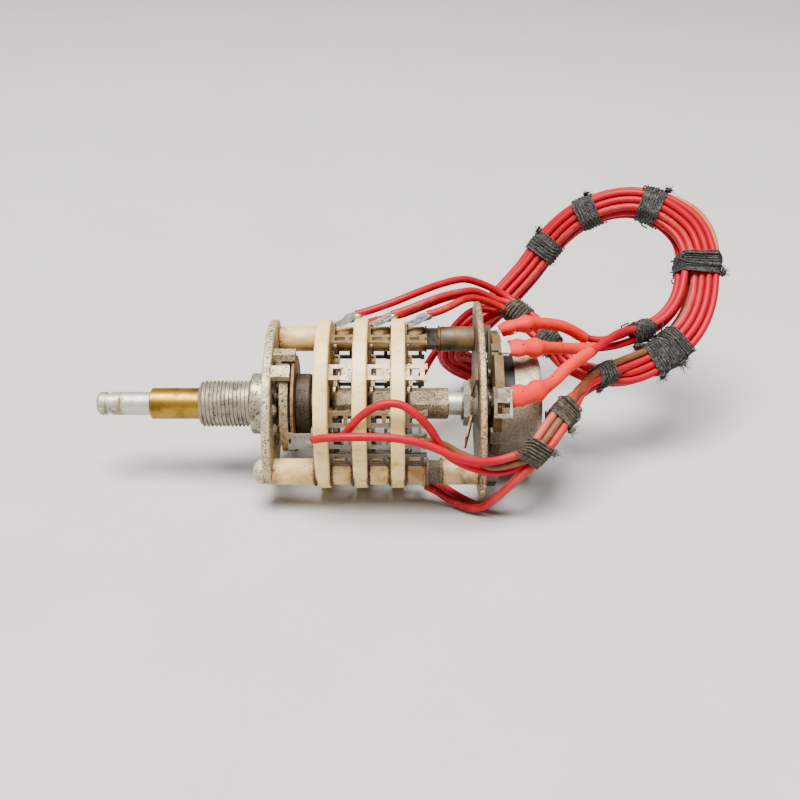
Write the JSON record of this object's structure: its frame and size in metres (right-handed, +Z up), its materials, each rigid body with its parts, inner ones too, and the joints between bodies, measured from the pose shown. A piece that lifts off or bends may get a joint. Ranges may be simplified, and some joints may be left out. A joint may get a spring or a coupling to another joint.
{
  "type": "rotary wafer switch with rear potentiometer",
  "caption": "Rotary switch with ceramic wafers and a rear potentiometer on concentric brass and aluminium shafts, threaded panel bushing and laced red wiring harness.",
  "frame": {"origin": "point on the shaft axis in the front face of the bushing's shoulder, which seats against the panel", "axes": "-X along the shafts towards the knobs, Z up as the switch lies on its side in the picture, Y away from the camera"},
  "size_m": [0.1312, 0.0657, 0.0514],
  "materials": {
    "plate_zinc": "matte, speckled zinc plating",
    "steel": "satin, tarnished",
    "spacer_cream": "matte, rust-dotted",
    "fibre": "matte",
    "plate_tan": "matte, stained",
    "ceramic": "matte, unglazed",
    "contact": "satin, tarnished silver plating",
    "brass": "satin",
    "bronze": "satin, darkened",
    "ball_steel": "rusted",
    "aluminium": "satin",
    "phenolic": "matte",
    "carbon": "matte",
    "liner_black": "glossy",
    "can_grey": "matte, speckled",
    "wire_red": "glossy",
    "sleeve_red": "satin, shrunk",
    "lacing": "waxed cord"
  },
  "bodies": {
    "frame": {"front_plate": "plate_zinc", "bushing": "plate_zinc", "through_bolts": "steel", "front_spacers": "spacer_cream", "wafer_spacers": "spacer_cream", "short_spacers": "spacer_cream", "fibre_washers": "fibre", "steel_washers": "steel", "clamp_nuts": "steel", "rear_spacers": "spacer_cream", "rear_nuts": "steel", "rear_plate": "plate_tan", "wafer_1": "ceramic", "wafer_2": "ceramic", "wafer_3": "ceramic", "clips_1": "contact", "clips_2": "contact", "clips_3": "contact", "clip_rivets_1": "steel", "clip_rivets_2": "steel", "clip_rivets_3": "steel", "pot_bushing": "steel", "pot_nut": "steel", "leaf_spring": "bronze", "pot_washer": "steel", "lock_washer": "steel", "pot_base": "phenolic", "pot_track": "carbon", "pot_terminals": "contact", "pot_rivets": "steel", "pot_liner": "liner_black", "pot_can": "can_grey", "pot_sleeves": "sleeve_red", "pot_leads": "wire_red", "top_leads": "wire_red", "front_leads": "wire_red", "pot_branch": "wire_red", "top_branch": "wire_red", "front_branch": "wire_red", "harness_trunk": "wire_red", "lacing_ties": "lacing"},
    "switch_spindle": {"outer_shaft": "brass", "ball_carrier": "steel", "index_balls": "ball_steel", "index_spring": "bronze", "thrust_collar": "steel", "drive_tube": "steel", "rotor_1": "ceramic", "rotor_2": "ceramic", "rotor_3": "ceramic", "rotor_blade_1": "contact", "rotor_blade_2": "contact", "rotor_blade_3": "contact"},
    "pot_spindle": {"inner_shaft": "aluminium", "wiper_hub": "phenolic", "wiper_contact": "brass"}
  },
  "joints": [
    {"name": "switch_turn", "type": "hinge", "parent": "frame", "child": "switch_spindle", "pos_m": [0, 0, 0], "axis": [1, 0, 0], "range_deg": [-144, 144]},
    {"name": "pot_turn", "type": "hinge", "parent": "frame", "child": "pot_spindle", "pos_m": [0, 0, 0], "axis": [1, 0, 0], "range_deg": [-150, 150]}
  ]
}
